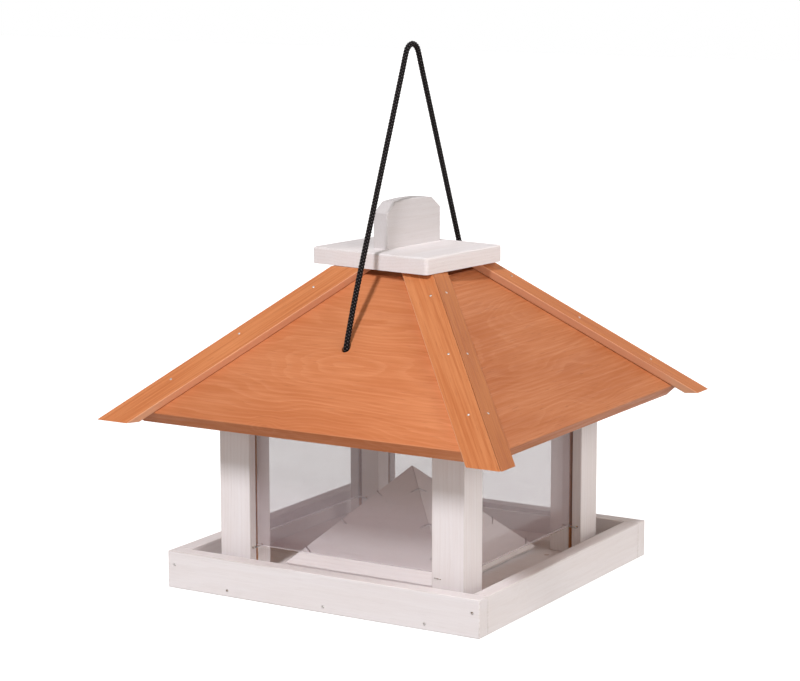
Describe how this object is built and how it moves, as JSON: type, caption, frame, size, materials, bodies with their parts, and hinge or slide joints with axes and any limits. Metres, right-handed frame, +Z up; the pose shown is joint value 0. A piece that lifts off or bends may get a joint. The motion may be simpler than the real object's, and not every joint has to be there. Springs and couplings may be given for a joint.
{
  "type": "bird table",
  "caption": "Hanging wooden bird table: a tray on which grooved posts hold clear panes around a seed pyramid, a hipped roof with battens, a lift-off lid with a handle, and a rope loop.",
  "frame": {"origin": "where a hook bears: under the rope, at the top of its loop, over the middle of the table", "axes": "+Z up along the hanging line; +X to the right along the front side; +Y from the front side to the back side; the rope's two legs lie in the plane X = 0"},
  "size_m": [0.3358, 0.3358, 0.4002],
  "materials": {
    "whitewashed_wood": "thin matt white wash through which the grain shows",
    "stained_roof_wood": "orange-brown stain, satin",
    "stained_batten_wood": "orange-brown stain, satin, with a stronger grain",
    "clear_acrylic": "clear sheet, glossy",
    "black_rope": "black braided cord, slightly shiny",
    "bright_steel": "bright wire"
  },
  "bodies": {
    "table": {"base_board": "whitewashed_wood", "tray_rail_front": "whitewashed_wood", "tray_rail_right": "whitewashed_wood", "tray_rail_back": "whitewashed_wood", "tray_rail_left": "whitewashed_wood", "nail_front_corner_left": "bright_steel", "nail_front_corner_right": "bright_steel", "nail_front_base_1": "bright_steel", "nail_front_base_2": "bright_steel", "nail_front_base_3": "bright_steel", "nail_back_corner_left": "bright_steel", "nail_back_corner_right": "bright_steel", "nail_back_base_1": "bright_steel", "nail_back_base_2": "bright_steel", "nail_back_base_3": "bright_steel", "post_screw_front_right": "bright_steel", "post_screw_back_right": "bright_steel", "post_screw_back_left": "bright_steel", "post_screw_front_left": "bright_steel", "staple_front_right_for_front_pane": "bright_steel", "staple_front_right_for_right_pane": "bright_steel", "staple_back_right_for_right_pane": "bright_steel", "staple_back_right_for_back_pane": "bright_steel", "staple_back_left_for_back_pane": "bright_steel", "staple_back_left_for_left_pane": "bright_steel", "staple_front_left_for_left_pane": "bright_steel", "staple_front_left_for_front_pane": "bright_steel", "post_front_right": "whitewashed_wood", "post_back_right": "whitewashed_wood", "post_back_left": "whitewashed_wood", "post_front_left": "whitewashed_wood", "pyramid_board_front": "whitewashed_wood", "pyramid_board_right": "whitewashed_wood", "pyramid_board_back": "whitewashed_wood", "pyramid_board_left": "whitewashed_wood", "roof_board_front": "stained_roof_wood", "roof_board_right": "stained_roof_wood", "roof_board_back": "stained_roof_wood", "roof_board_left": "stained_roof_wood", "hip_batten_front_to_right": "stained_batten_wood", "hip_batten_front_to_left": "stained_batten_wood", "hip_batten_right_to_back": "stained_batten_wood", "hip_batten_right_to_front": "stained_batten_wood", "hip_batten_back_to_left": "stained_batten_wood", "hip_batten_back_to_right": "stained_batten_wood", "hip_batten_left_to_front": "stained_batten_wood", "hip_batten_left_to_back": "stained_batten_wood", "hanging_rope": "black_rope", "rope_knot_front": "black_rope", "rope_knot_back": "black_rope"},
    "lid": {"lid_plate": "whitewashed_wood", "lid_handle": "whitewashed_wood", "lid_locating_block": "stained_roof_wood", "lid_screw_front": "bright_steel", "lid_screw_back": "bright_steel"},
    "front_pane": {"pane_front": "clear_acrylic"},
    "right_pane": {"pane_right": "clear_acrylic"},
    "back_pane": {"pane_back": "clear_acrylic"},
    "left_pane": {"pane_left": "clear_acrylic"}
  },
  "joints": [
    {"name": "lid_lift", "type": "slide", "parent": "table", "child": "lid", "axis": [0, 0, 1], "range_m": [0, 0.03]},
    {"name": "front_pane_rise", "type": "slide", "parent": "table", "child": "front_pane", "axis": [0, 0, 1], "range_m": [0, 0.004]},
    {"name": "right_pane_rise", "type": "slide", "parent": "table", "child": "right_pane", "axis": [0, 0, 1], "range_m": [0, 0.004]},
    {"name": "back_pane_rise", "type": "slide", "parent": "table", "child": "back_pane", "axis": [0, 0, 1], "range_m": [0, 0.004]},
    {"name": "left_pane_rise", "type": "slide", "parent": "table", "child": "left_pane", "axis": [0, 0, 1], "range_m": [0, 0.004]}
  ]
}
